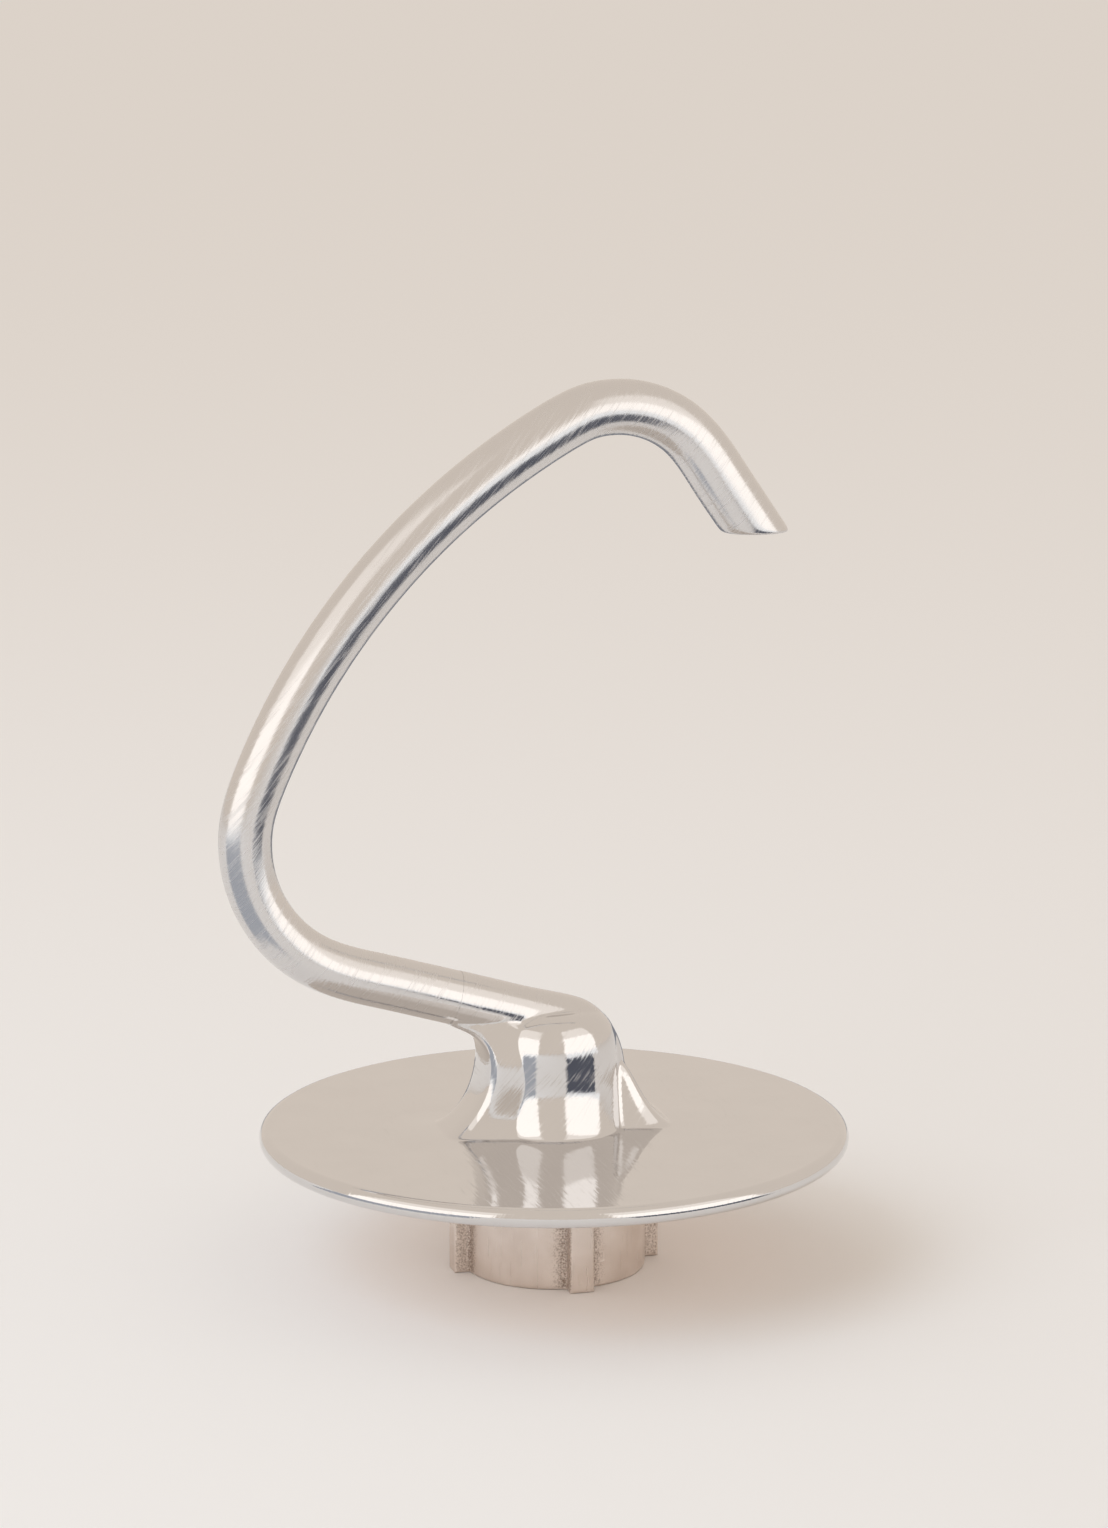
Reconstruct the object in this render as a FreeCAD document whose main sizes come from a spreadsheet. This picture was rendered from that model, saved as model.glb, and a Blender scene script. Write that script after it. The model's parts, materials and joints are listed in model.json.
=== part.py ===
import FreeCAD, Part
import math
import os

import Sketcher
from FreeCAD import Placement, Rotation, Vector

# Dough hook for a planetary mixer, standing upside down on its coupling hub.
# Millimetres. The origin is on the drive axis in the plane of the hub's rim, +Z runs up the drive
# axis, and the arm lies in the X-Z plane with its big bend towards -X and its tip towards +X.

doc = FreeCAD.newDocument("dough_hook")

# ---------------------------------------------------------------- driving dimensions

SIZES = [
    # the guard disc
    ("disc_radius", 55.0, "disc, outer radius"),
    ("disc_thickness", 3.6, "disc, thickness, which is also the diameter of its round rim"),
    # the coupling hub
    ("hub_height", 23.5, "hub, from its rim to the underside of the disc"),
    ("hub_radius", 17.1, "hub, outer radius of the barrel"),
    ("hub_wall", 3.2, "hub, wall of the barrel"),
    ("hub_web", 4.0, "hub, thickness of the web under the disc"),
    ("rib_reach", 2.7, "hub, how far a rib stands out of the barrel"),
    ("rib_width", 4.5, "hub, width of a rib"),
    ("rib_count", 4, "hub, number of ribs"),
    ("rib_edge_radius", 0.9, "hub, rounding of a rib's long edges"),
    ("rim_round", 0.5, "hub, rounding of the outer edge at the rim"),
    # the drive bush
    ("socket_radius", 6.45, "bush, radius of the socket for the drive shaft"),
    ("socket_depth", 37.0, "bush, depth of the socket"),
    ("bush_wall", 2.05, "bush, wall"),
    ("bush_recess", 1.0, "bush, how far its mouth sits inside the hub's rim"),
    ("flange_width", 2.0, "bush, how far its flange stands out"),
    ("flange_thickness", 2.0, "bush, thickness of its flange"),
    ("mouth_chamfer", 0.5, "bush, lead-in at the mouth of the socket"),
    ("slot_width", 5.6, "bush, width of the slot for the shaft's cross pin"),
    ("slot_depth", 13.5, "bush, depth of the slot from the mouth"),
    ("lock_turn", 45.0, "bush, degrees that the slot runs round to lock the pin"),
    # the boss
    ("boss_half_length", 13.6, "boss, half its length along X"),
    ("boss_half_depth", 10.7, "boss, half its depth along Y"),
    ("spigot_wall", 1.7, "boss, wall of the spigot that fills the disc's hole, round the bush"),
    ("foot_spread", 6.6, "boss, how far its foot flares out along X"),
    ("foot_spread_side", 1.9, "boss, how far its foot flares out along Y"),
    ("foot_rise", 9.0, "boss, height of the flare"),
    ("elbow_radius", 14.5, "boss, radius of the elbow's outer curve"),
    ("crook_radius", 5.5, "boss, radius of the curve under the arm"),
    ("stub_reach", 20.0, "boss, from the drive axis to the face that the arm is welded to"),
    # the arm
    ("rod_radius", 5.05, "arm, radius of the bar"),
    ("tip_radius", 5.4, "arm, radius of the bar at its thicker tip"),
    ("root_above_disc", 19.7, "arm, height above the disc at which its root meets the drive axis"),
    ("root_rise", 16.58, "arm, degrees that the root rises"),
    ("root_run", 41.04, "arm, from the drive axis to the first bend"),
    ("heel_radius", 25.93, "arm, centreline radius of the first bend"),
    ("heel_turn", 95.01, "arm, degrees of the first bend"),
    ("bow_radius", 127.24, "arm, centreline radius of the long bow"),
    ("bow_turn", 40.43, "arm, degrees of the long bow"),
    ("crest_radius", 19.64, "arm, centreline radius of the top bend"),
    ("crest_turn", 83.56, "arm, degrees of the top bend"),
    ("tip_run", 18.5, "arm, straight stretch from the top bend to the tip's face"),
    ("tip_round", 1.0, "arm, rounding of the tip's rim"),
    ("tenon_radius", 3.0, "arm, radius of the tenon in the boss"),
    ("tenon_length", 10.0, "arm, length of the tenon"),
    # fits
    ("fit_gap", 0.03, "radial gap of a turned piece in its hole"),
]

sheet = doc.addObject("Spreadsheet::Sheet", "sizes")
for row, (alias, value, meaning) in enumerate(SIZES, start=1):
    sheet.set(f"A{row}", meaning)
    sheet.set(f"B{row}", str(value))
    sheet.setAlias(f"B{row}", alias)
doc.recompute()

# Heights and radii that follow from the sheet and that more than one piece uses.
DISC_TOP = "sizes.hub_height + sizes.disc_thickness"
BUSH_RADIUS = "sizes.socket_radius + sizes.bush_wall"
SPIGOT_RADIUS = f"{BUSH_RADIUS} + sizes.fit_gap + sizes.spigot_wall"
BUSH_TOP = "sizes.bush_recess + sizes.socket_depth"
WEB_UNDERSIDE = "sizes.hub_height - sizes.hub_web"
SLOT_TOP = "sizes.bush_recess + sizes.slot_depth"
HUB_BORE = "sizes.hub_radius - sizes.hub_wall"
ROOT_HEIGHT = f"{DISC_TOP} + sizes.root_above_disc"


def number(expression):
    """What an expression in the sheet's aliases comes to."""
    return float(sheet.evalExpression(expression))


# ---------------------------------------------------------------- helpers


def new_body(name):
    """An empty body whose label is the sub-part's name."""
    body = doc.addObject("PartDesign::Body", name)
    body.Label = name
    return body


def new_sketch(body, name, role):
    """A sketch on one of the body's own origin planes."""
    plane = next(p for p in body.Origin.OriginFeatures if p.Role == role)
    sketch = body.newObject("Sketcher::SketchObject", name)
    sketch.AttachmentSupport = [(plane, "")]
    sketch.MapMode = "FlatFace"
    return sketch


def bind(sketch, constraint, expression):
    """Add a constraint whose value follows an expression."""
    index = sketch.addConstraint(constraint)
    sketch.setExpression(f"Constraints[{index}]", expression)


def place_vertex(sketch, edge, vertex, x, y):
    """Fix a vertex at a pair of expressions, measured from the sketch's origin."""
    bind(sketch, Sketcher.Constraint("DistanceX", -1, 1, edge, vertex, number(x)), x)
    bind(sketch, Sketcher.Constraint("DistanceY", -1, 1, edge, vertex, number(y)), y)


def outline(sketch, corners):
    """A closed outline of straight edges through corners given as pairs of expressions."""
    points = [Vector(number(x), number(y), 0) for x, y in corners]
    edges = []
    for start, end in zip(points, points[1:] + points[:1]):
        edges.append(sketch.addGeometry(Part.LineSegment(start, end)))
    for edge, following in zip(edges, edges[1:] + edges[:1]):
        sketch.addConstraint(Sketcher.Constraint("Coincident", edge, 2, following, 1))
    for edge, (x, y) in zip(edges, corners):
        place_vertex(sketch, edge, 1, x, y)


def turned(body, sketch, name):
    """The solid that the sketch makes when it is turned about the drive axis."""
    axis = next(a for a in body.Origin.OriginFeatures if a.Role == "Z_Axis")
    feature = body.newObject("PartDesign::Revolution", name)
    feature.Profile = sketch
    feature.ReferenceAxis = (axis, [""])
    feature.Angle = 360
    doc.recompute()
    return feature


def repeated(body, feature, name, count):
    """Copies of a feature, spaced evenly about the drive axis."""
    axis = next(a for a in body.Origin.OriginFeatures if a.Role == "Z_Axis")
    pattern = body.newObject("PartDesign::PolarPattern", name)
    pattern.Originals = [feature]
    pattern.Axis = (axis, [""])
    pattern.Angle = 360
    pattern.setExpression("Occurrences", count)
    body.Tip = pattern
    doc.recompute()
    return pattern


def edges_where(shape, wanted):
    """The names of the edges for which a test holds."""
    return [f"Edge{i}" for i, edge in enumerate(shape.Edges, start=1) if wanted(edge)]


def rounded(body, feature, name, wanted, radius):
    """Round the edges of a body's feature for which a test holds."""
    fillet = body.newObject("PartDesign::Fillet", name)
    fillet.Base = (feature, edges_where(feature.Shape, wanted))
    fillet.setExpression("Radius", radius)
    body.Tip = fillet
    doc.recompute()
    return fillet


def cylinder(name, radius, height, base):
    """An upright cylinder on the drive axis, from three expressions."""
    piece = doc.addObject("Part::Cylinder", name)
    piece.setExpression("Radius", radius)
    piece.setExpression("Height", height)
    piece.setExpression("Placement.Base.z", base)
    return piece


# ---------------------------------------------------------------- guard disc


def make_guard_disc():
    """A flat plate with a hole at its middle and a rim rounded through its whole thickness."""
    body = new_body("guard_disc")
    sketch = new_sketch(body, "disc_section", "XZ_Plane")
    hole = f"{SPIGOT_RADIUS} + sizes.fit_gap"
    shoulder = "sizes.disc_radius - sizes.disc_thickness / 2"
    bottom = "sizes.hub_height"
    corners = [(hole, DISC_TOP), (hole, bottom), (shoulder, bottom), (shoulder, DISC_TOP)]
    points = [Vector(number(x), number(y), 0) for x, y in corners]
    left = sketch.addGeometry(Part.LineSegment(points[0], points[1]))
    base = sketch.addGeometry(Part.LineSegment(points[1], points[2]))
    top = sketch.addGeometry(Part.LineSegment(points[3], points[0]))
    middle = (points[2] + points[3]) * 0.5
    circle = Part.Circle(middle, Vector(0, 0, 1), number("sizes.disc_thickness / 2"))
    rim = sketch.addGeometry(Part.ArcOfCircle(circle, -math.pi / 2, math.pi / 2))
    for first, first_end, second, second_end in [
        (left, 2, base, 1),
        (base, 2, rim, 1),
        (rim, 2, top, 1),
        (top, 2, left, 1),
    ]:
        sketch.addConstraint(Sketcher.Constraint("Coincident", first, first_end, second, second_end))
    place_vertex(sketch, left, 1, *corners[0])
    place_vertex(sketch, base, 1, *corners[1])
    place_vertex(sketch, base, 2, *corners[2])
    place_vertex(sketch, top, 1, *corners[3])
    bind(sketch, Sketcher.Constraint("DistanceX", -1, 1, rim, 3, middle.x), shoulder)
    turned(body, sketch, "disc_turned")
    return body


# ---------------------------------------------------------------- coupling hub


def make_coupling_hub():
    """A ribbed barrel, open at its rim and closed by a web under the disc."""
    body = new_body("coupling_hub")
    sketch = new_sketch(body, "barrel_section", "XZ_Plane")
    bush_hole = f"{BUSH_RADIUS} + sizes.fit_gap"
    outline(
        sketch,
        [
            (HUB_BORE, "0"),
            ("sizes.hub_radius", "0"),
            ("sizes.hub_radius", "sizes.hub_height"),
            (bush_hole, "sizes.hub_height"),
            (bush_hole, WEB_UNDERSIDE),
            (HUB_BORE, WEB_UNDERSIDE),
        ],
    )
    turned(body, sketch, "barrel")

    section = new_sketch(body, "rib_section", "XY_Plane")
    sunk = "sizes.hub_radius - sizes.hub_wall / 2"
    reach = "sizes.hub_radius + sizes.rib_reach"
    outline(
        section,
        [
            (sunk, "-sizes.rib_width / 2"),
            (reach, "-sizes.rib_width / 2"),
            (reach, "sizes.rib_width / 2"),
            (sunk, "sizes.rib_width / 2"),
        ],
    )
    rib = body.newObject("PartDesign::Pad", "rib")
    rib.Profile = section
    rib.setExpression("Length", "sizes.hub_height")
    doc.recompute()
    ribs = repeated(body, rib, "ribs", "sizes.rib_count")

    barrel = number("sizes.hub_radius")

    def long_outer_edge(edge):
        low, high = edge.BoundBox.ZMin, edge.BoundBox.ZMax
        middle = edge.CenterOfMass
        upright = high - low > number("sizes.hub_height") * 0.9
        return upright and math.hypot(middle.x, middle.y) > barrel + number("sizes.rib_reach") / 2

    softened = rounded(body, ribs, "rib_edges", long_outer_edge, "sizes.rib_edge_radius")

    def rim_edge(edge):
        on_rim = edge.BoundBox.ZMax < 0.001
        middle = edge.valueAt((edge.FirstParameter + edge.LastParameter) / 2)
        return on_rim and math.hypot(middle.x, middle.y) > barrel - 0.1

    rounded(body, softened, "rim_edge", rim_edge, "sizes.rim_round")
    return body


# ---------------------------------------------------------------- drive bush


def make_drive_bush():
    """A flanged sleeve with two slots that take the shaft's cross pin and lock it with a turn."""
    body = new_body("drive_bush")
    sketch = new_sketch(body, "bush_section", "XZ_Plane")
    flange_radius = f"{BUSH_RADIUS} + sizes.flange_width"
    flange_bottom = f"{WEB_UNDERSIDE} - sizes.flange_thickness"
    outline(
        sketch,
        [
            ("sizes.socket_radius + sizes.mouth_chamfer", "sizes.bush_recess"),
            (BUSH_RADIUS, "sizes.bush_recess"),
            (BUSH_RADIUS, flange_bottom),
            (flange_radius, flange_bottom),
            (flange_radius, WEB_UNDERSIDE),
            (BUSH_RADIUS, WEB_UNDERSIDE),
            (BUSH_RADIUS, BUSH_TOP),
            ("sizes.socket_radius", BUSH_TOP),
            ("sizes.socket_radius", "sizes.bush_recess + sizes.mouth_chamfer"),
        ],
    )
    sleeve = turned(body, sketch, "sleeve")

    # the way in: a straight slot through both walls, open at the mouth
    entry = new_sketch(body, "entry_section", "XZ_Plane")
    outline(
        entry,
        [
            ("-sizes.slot_width / 2", "0"),
            ("sizes.slot_width / 2", "0"),
            ("sizes.slot_width / 2", SLOT_TOP),
            ("-sizes.slot_width / 2", SLOT_TOP),
        ],
    )
    slots = body.newObject("PartDesign::Pocket", "entry_slots")
    slots.Profile = entry
    slots.SideType = "Symmetric"
    slots.Type = "Length"
    slots.setExpression("Length", f"2 * ({BUSH_RADIUS} + sizes.bush_wall)")
    doc.recompute()

    # the way round: each slot turns about the axis at its blind end
    lock = new_sketch(body, "lock_section", "YZ_Plane")
    outline(
        lock,
        [
            ("sizes.socket_radius - sizes.bush_wall", f"{SLOT_TOP} - sizes.slot_width"),
            (f"{BUSH_RADIUS} + sizes.bush_wall", f"{SLOT_TOP} - sizes.slot_width"),
            (f"{BUSH_RADIUS} + sizes.bush_wall", SLOT_TOP),
            ("sizes.socket_radius - sizes.bush_wall", SLOT_TOP),
        ],
    )
    axis = next(a for a in body.Origin.OriginFeatures if a.Role == "Z_Axis")
    groove = body.newObject("PartDesign::Groove", "lock_slot")
    groove.Profile = lock
    groove.ReferenceAxis = (axis, [""])
    groove.setExpression("Angle", "sizes.lock_turn")
    doc.recompute()
    locks = repeated(body, groove, "lock_slots", "2")

    if not locks.Shape.Volume < slots.Shape.Volume < sleeve.Shape.Volume:
        raise RuntimeError("a slot in the drive bush cuts nothing")
    return body


# ---------------------------------------------------------------- path of the arm


def heading(degrees):
    """A unit vector in the X-Z plane, by its angle above +X."""
    turn = math.radians(degrees)
    return Vector(math.cos(turn), 0, math.sin(turn))


ROOT_HEADING = 180 - number("sizes.root_rise")
BENDS = [("heel_radius", "heel_turn"), ("bow_radius", "bow_turn"), ("crest_radius", "crest_turn")]


def root_point(distance):
    """The point of the root's centreline at a distance from the drive axis."""
    return Vector(0, 0, number(ROOT_HEIGHT)) + heading(ROOT_HEADING) * distance


def arm_stations():
    """The end of each stretch of the centreline, as a list of (point, heading in degrees)."""
    point, degrees = root_point(number("sizes.stub_reach")), ROOT_HEADING
    stations = [(point, degrees)]
    point = root_point(number("sizes.root_run"))
    stations.append((point, degrees))
    for radius, turn in BENDS:
        centre = point + heading(degrees - 90) * number(f"sizes.{radius}")
        degrees -= number(f"sizes.{turn}")
        point = centre + heading(degrees + 90) * number(f"sizes.{radius}")
        stations.append((point, degrees))
    stations.append((point + heading(degrees) * number("sizes.tip_run"), degrees))
    return stations


def make_arm_path(stations):
    """The centreline as one sketch in the X-Z plane: a straight root, three bends and a straight tip.

    The tip runs on past its face by two bar radii, so that a level cut can make the face.
    """
    path = doc.addObject("Sketcher::SketchObject", "arm_path")
    path.Placement = Placement(Vector(0, 0, 0), Rotation(Vector(1, 0, 0), 90))
    flat = [Vector(point.x, point.z, 0) for point, _ in stations]
    over = heading(stations[-1][1]) * number("2 * sizes.tip_radius")
    flat[-1] = flat[-1] + Vector(over.x, over.z, 0)

    root = path.addGeometry(Part.LineSegment(flat[0], flat[1]))
    for vertex, reach in ((1, "sizes.stub_reach"), (2, "sizes.root_run")):
        across = f"-{reach} * cos(sizes.root_rise * 1 deg)"
        up = f"{ROOT_HEIGHT} + {reach} * sin(sizes.root_rise * 1 deg)"
        place_vertex(path, root, vertex, across, up)

    previous, previous_end = root, 2
    for (radius, turn), (point, degrees) in zip(BENDS, stations[1:4]):
        centre = point + heading(degrees - 90) * number(f"sizes.{radius}")
        swing = number(f"sizes.{turn}")
        circle = Part.Circle(Vector(centre.x, centre.z, 0), Vector(0, 0, 1), number(f"sizes.{radius}"))
        start, end = math.radians(degrees + 90 - swing), math.radians(degrees + 90)
        bend = path.addGeometry(Part.ArcOfCircle(circle, start, end))
        path.addConstraint(Sketcher.Constraint("Tangent", previous, previous_end, bend, 2))
        bind(path, Sketcher.Constraint("Radius", bend, number(f"sizes.{radius}")), f"sizes.{radius}")
        bind(path, Sketcher.Constraint("Angle", bend, math.radians(swing)), f"sizes.{turn} * 1 deg")
        previous, previous_end = bend, 1

    tip = path.addGeometry(Part.LineSegment(flat[-2], flat[-1]))
    path.addConstraint(Sketcher.Constraint("Tangent", previous, previous_end, tip, 1))
    length = "sizes.tip_run + 2 * sizes.tip_radius"
    bind(path, Sketcher.Constraint("Distance", tip, number(length)), length)
    return path


def make_section(name, station, radius):
    """A circle square to the centreline at a station."""
    point, degrees = station
    section = doc.addObject("Part::Circle", name)
    section.Placement = Placement(point, Rotation(Vector(0, 0, 1), heading(degrees)))
    section.setExpression("Radius", radius)
    return section


# ---------------------------------------------------------------- hook arm


def make_hook_arm(stations):
    """The bent bar: even as far as the top bend, then a little thicker to a tip cut level."""
    path = make_arm_path(stations)
    bar = doc.addObject("Part::Sweep", "arm_bar")
    past_face = stations[-1][0] + heading(stations[-1][1]) * number("2 * sizes.tip_radius")
    bar.Sections = [
        make_section("root_section", stations[0], "sizes.rod_radius"),
        make_section("crest_section", stations[3], "sizes.rod_radius"),
        make_section("tip_section", (past_face, stations[-1][1]), "sizes.tip_radius"),
    ]
    bar.Spine = (path, [f"Edge{i + 1}" for i in range(len(path.Shape.Edges))])
    bar.Solid = True
    bar.Frenet = False

    # everything below the tip's level face, near the tip
    waste = doc.addObject("Part::Box", "tip_waste")
    face = stations[-1][0]
    waste.setExpression("Length", "8 * sizes.tip_radius")
    waste.setExpression("Width", "8 * sizes.tip_radius")
    waste.setExpression("Height", "4 * sizes.tip_radius")
    reach = number("4 * sizes.tip_radius")
    waste.Placement.Base = Vector(face.x - reach, -reach, face.z - reach)
    trimmed = doc.addObject("Part::Cut", "arm_trimmed")
    trimmed.Base = bar
    trimmed.Tool = waste
    doc.recompute()

    def tip_rim(edge):
        return abs(edge.BoundBox.ZMax - face.z) < 0.01 and edge.BoundBox.ZLength < 0.01

    softened = doc.addObject("Part::Fillet", "arm_softened")
    softened.Base = trimmed
    rim = [i for i, edge in enumerate(trimmed.Shape.Edges, start=1) if tip_rim(edge)]
    softened.Edges = [(i, number("sizes.tip_round"), number("sizes.tip_round")) for i in rim]

    tenon = doc.addObject("Part::Cylinder", "tenon")
    tenon.setExpression("Radius", "sizes.tenon_radius")
    tenon.setExpression("Height", "sizes.tenon_length")
    tenon.Placement = Placement(stations[0][0], Rotation(Vector(0, 0, 1), heading(ROOT_HEADING - 180)))

    arm = doc.addObject("Part::Fuse", "hook_arm")
    arm.Base = softened
    arm.Tool = tenon
    arm.Label = "hook_arm"
    return arm


# ---------------------------------------------------------------- arm boss


def boss_levels():
    """Level cross-sections of the boss, as (height, left x, right x, half depth), from its foot up.

    The left side runs up the column and round the crook under the arm. The right side runs up the
    column and round the elbow. The last levels lie inside the stub of bar that crosses the top.
    """
    half_length = number("sizes.boss_half_length")
    half_depth = number("sizes.boss_half_depth")
    rod = number("sizes.rod_radius")
    foot = number(DISC_TOP)
    rise = number("sizes.foot_rise")
    slope = math.radians(number("sizes.root_rise"))

    def height_below_root(x, distance):
        """Height of the point at x that lies a distance under the root's centreline."""
        return number(ROOT_HEIGHT) - x * math.tan(slope) - distance / math.cos(slope)

    crook = number("sizes.crook_radius")
    crook_x = -half_length - crook
    crook_z = height_below_root(crook_x, rod + crook)
    elbow = number("sizes.elbow_radius")
    elbow_x = half_length - elbow
    elbow_z = height_below_root(elbow_x, elbow - rod)

    levels = []
    # the flared foot: wide at the disc, upright where the column starts
    for share in (0.0, 0.25, 0.6, 1.0):
        flare = (1 - share) ** 2
        length = half_length + number("sizes.foot_spread") * flare
        depth = half_depth + number("sizes.foot_spread_side") * flare
        levels.append((foot + rise * share, -length, length, depth))
    # the shoulder: both curves, while the depth shrinks to the bar's
    shoulder = max(crook_z, elbow_z)
    touch = crook * math.cos(slope)
    for share in (0.0, 0.35, 0.65, 1.0):
        height = shoulder + touch * share
        left = crook_x + math.sqrt(max(crook**2 - (height - crook_z) ** 2, 0))
        right = elbow_x + math.sqrt(elbow**2 - (height - elbow_z) ** 2)
        depth = rod + (half_depth - rod) * math.sqrt(1 - (0.85 * share) ** 2)
        levels.append((height, left, right, depth))
    # the top, inside the stub
    _, left, _, _ = levels[-1]
    height = elbow_z + math.sqrt(elbow**2 - (rod - elbow_x) ** 2)
    levels.append((height, left + rod / 2, rod, rod * 0.8))
    return levels


def make_arm_boss():
    """The cast elbow: a flared column under a round stub, bored from below for the drive bush."""
    hoops = []
    for index, (height, left, right, depth) in enumerate(boss_levels()):
        hoop = doc.addObject("Part::Ellipse", f"boss_level_{index}")
        hoop.MajorRadius = (right - left) / 2
        hoop.MinorRadius = depth
        hoop.Placement.Base = Vector((left + right) / 2, 0, height)
        hoops.append(hoop)
    column = doc.addObject("Part::Loft", "boss_column")
    column.Sections = hoops
    column.Solid = True
    column.Ruled = False

    # the stub that the arm is welded to, with a round end under the elbow
    stub = doc.addObject("Part::Cylinder", "boss_stub")
    stub.setExpression("Radius", "sizes.rod_radius")
    stub.setExpression("Height", "sizes.stub_reach + sizes.rod_radius * 0.9")
    inner_end = root_point(-0.9 * number("sizes.rod_radius"))
    stub.Placement = Placement(inner_end, Rotation(Vector(0, 0, 1), heading(ROOT_HEADING)))
    knuckle = doc.addObject("Part::Sphere", "boss_knuckle")
    knuckle.setExpression("Radius", "sizes.rod_radius")
    knuckle.Placement.Base = inner_end

    spigot = cylinder(
        "boss_spigot",
        SPIGOT_RADIUS,
        "sizes.disc_thickness + sizes.foot_rise / 2",
        "sizes.hub_height",
    )
    solid = doc.addObject("Part::MultiFuse", "boss_solid")
    solid.Shapes = [column, stub, knuckle, spigot]

    seat = cylinder(
        "bush_seat",
        f"{BUSH_RADIUS} + sizes.fit_gap",
        f"{BUSH_TOP} - ({WEB_UNDERSIDE})",
        WEB_UNDERSIDE,
    )
    bored = doc.addObject("Part::Cut", "boss_bored")
    bored.Base = solid
    bored.Tool = seat

    mortise = doc.addObject("Part::Cylinder", "tenon_hole")
    mortise.setExpression("Radius", "sizes.tenon_radius + sizes.fit_gap")
    mortise.setExpression("Height", "sizes.tenon_length + 1")
    outside = root_point(number("sizes.stub_reach + 1"))
    mortise.Placement = Placement(outside, Rotation(Vector(0, 0, 1), heading(ROOT_HEADING - 180)))
    boss = doc.addObject("Part::Cut", "arm_boss")
    boss.Base = bored
    boss.Tool = mortise
    boss.Label = "arm_boss"
    return boss


# ---------------------------------------------------------------- build, check and write

sub_parts = [
    make_guard_disc(),
    make_coupling_hub(),
    make_drive_bush(),
    make_arm_boss(),
    make_hook_arm(arm_stations()),
]
doc.recompute()

for item in doc.Objects:
    if "Invalid" in item.State or "Error" in item.State:
        raise RuntimeError(f"{item.Name} did not build: {item.State}")
for piece in sub_parts:
    if piece.Shape.isNull() or not piece.Shape.isValid() or len(piece.Shape.Solids) != 1:
        raise RuntimeError(f"{piece.Label} is not one valid solid")

os.makedirs("parts", exist_ok=True)
for piece in sub_parts:
    piece.Shape.exportStep(f"parts/{piece.Label}.step")
    box = piece.Shape.optimalBoundingBox(False)
    print(
        f"{piece.Label:13s} {piece.Shape.Volume / 1000:7.2f} cm3"
        f"  x {box.XMin:7.2f} {box.XMax:7.2f}  y {box.YMin:7.2f} {box.YMax:7.2f}"
        f"  z {box.ZMin:7.2f} {box.ZMax:7.2f}"
    )
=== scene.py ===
# %% [markdown]
# # A dough hook in polished steel
# A dough hook is the arm that a stand mixer turns to knead. This one stands upside down on its coupling
# hub, so the disc that keeps dough off the drive is near the floor and the bent arm rises above it.
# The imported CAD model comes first: it fixes where every piece goes, in metres, and it never moves.

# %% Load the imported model
import json
import math

import bmesh
import bpy
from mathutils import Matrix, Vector

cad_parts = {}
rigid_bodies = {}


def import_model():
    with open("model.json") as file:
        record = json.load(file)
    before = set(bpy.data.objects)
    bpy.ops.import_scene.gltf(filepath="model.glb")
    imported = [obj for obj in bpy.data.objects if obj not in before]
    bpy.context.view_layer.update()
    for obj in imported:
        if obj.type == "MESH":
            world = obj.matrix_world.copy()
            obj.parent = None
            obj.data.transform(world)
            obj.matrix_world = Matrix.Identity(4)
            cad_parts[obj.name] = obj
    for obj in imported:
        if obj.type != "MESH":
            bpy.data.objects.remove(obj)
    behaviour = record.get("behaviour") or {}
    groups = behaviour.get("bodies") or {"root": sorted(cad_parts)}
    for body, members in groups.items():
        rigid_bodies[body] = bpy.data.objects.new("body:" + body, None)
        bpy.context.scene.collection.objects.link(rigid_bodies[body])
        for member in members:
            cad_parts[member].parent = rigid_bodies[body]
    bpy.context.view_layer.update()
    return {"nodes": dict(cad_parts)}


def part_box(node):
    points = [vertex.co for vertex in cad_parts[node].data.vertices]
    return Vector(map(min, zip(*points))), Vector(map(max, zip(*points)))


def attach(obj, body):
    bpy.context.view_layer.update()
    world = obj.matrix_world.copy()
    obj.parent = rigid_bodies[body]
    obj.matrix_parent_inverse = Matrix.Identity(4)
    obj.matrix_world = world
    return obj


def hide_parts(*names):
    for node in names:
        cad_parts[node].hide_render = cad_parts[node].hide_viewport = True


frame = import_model()
MM = 0.001
for node_name in sorted(frame["nodes"]):
    lowest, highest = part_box(node_name)
    print(node_name, [round(v / MM, 2) for v in (*lowest, *highest)])

# %% [markdown]
# Four heights are shared by every piece: the underside of the disc and its top, which are read from the
# disc's
# CAD box once, and the plane where the arm is welded to the boss and the level face of the arm's tip,
# given in mm.
# The root of the arm is a straight bar that rises to the left, 16.58 degrees above the level. Its line
# crosses the drive axis 19.7 mm above the disc, and the weld is 20 mm along it from there.

# %% Heights and the root line
DISC_LOW, DISC_TOP = (corner.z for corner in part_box("guard_disc"))
DISC_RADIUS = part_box("guard_disc")[1].y
ROOT_RISE = math.radians(16.58)
ROOT_ABOVE_DISC = 19.7 * MM
ROOT_HEIGHT = DISC_TOP + ROOT_ABOVE_DISC
WELD_REACH = 20.0 * MM
TIP_FACE = 136.95 * MM


def heading(degrees):
    """A unit vector in the X-Z plane, by its angle above +X."""
    turn = math.radians(degrees)
    return Vector((math.cos(turn), 0, math.sin(turn)))


ROOT_HEADING = 180 - math.degrees(ROOT_RISE)


def root_point(reach):
    """The point of the root's centreline at a distance from the drive axis."""
    return Vector((0, 0, ROOT_HEIGHT)) + heading(ROOT_HEADING) * reach


print("disc from", DISC_LOW / MM, "to", DISC_TOP / MM, "mm")
print("weld at", [round(v / MM, 2) for v in root_point(WELD_REACH)])

# %% [markdown]
# Most pieces here start as one ring of vertices that is extruded again and again: a bent bar, a column,
# a foot. Doing it ring by ring keeps clean rows of four-sided faces, and a Subdivision Surface then
# makes the curves flow, which matters on a mirror finish, where every bump in the rows would show.
# These helpers open a piece with nothing selected, add the next ring, and close both ends.

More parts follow.
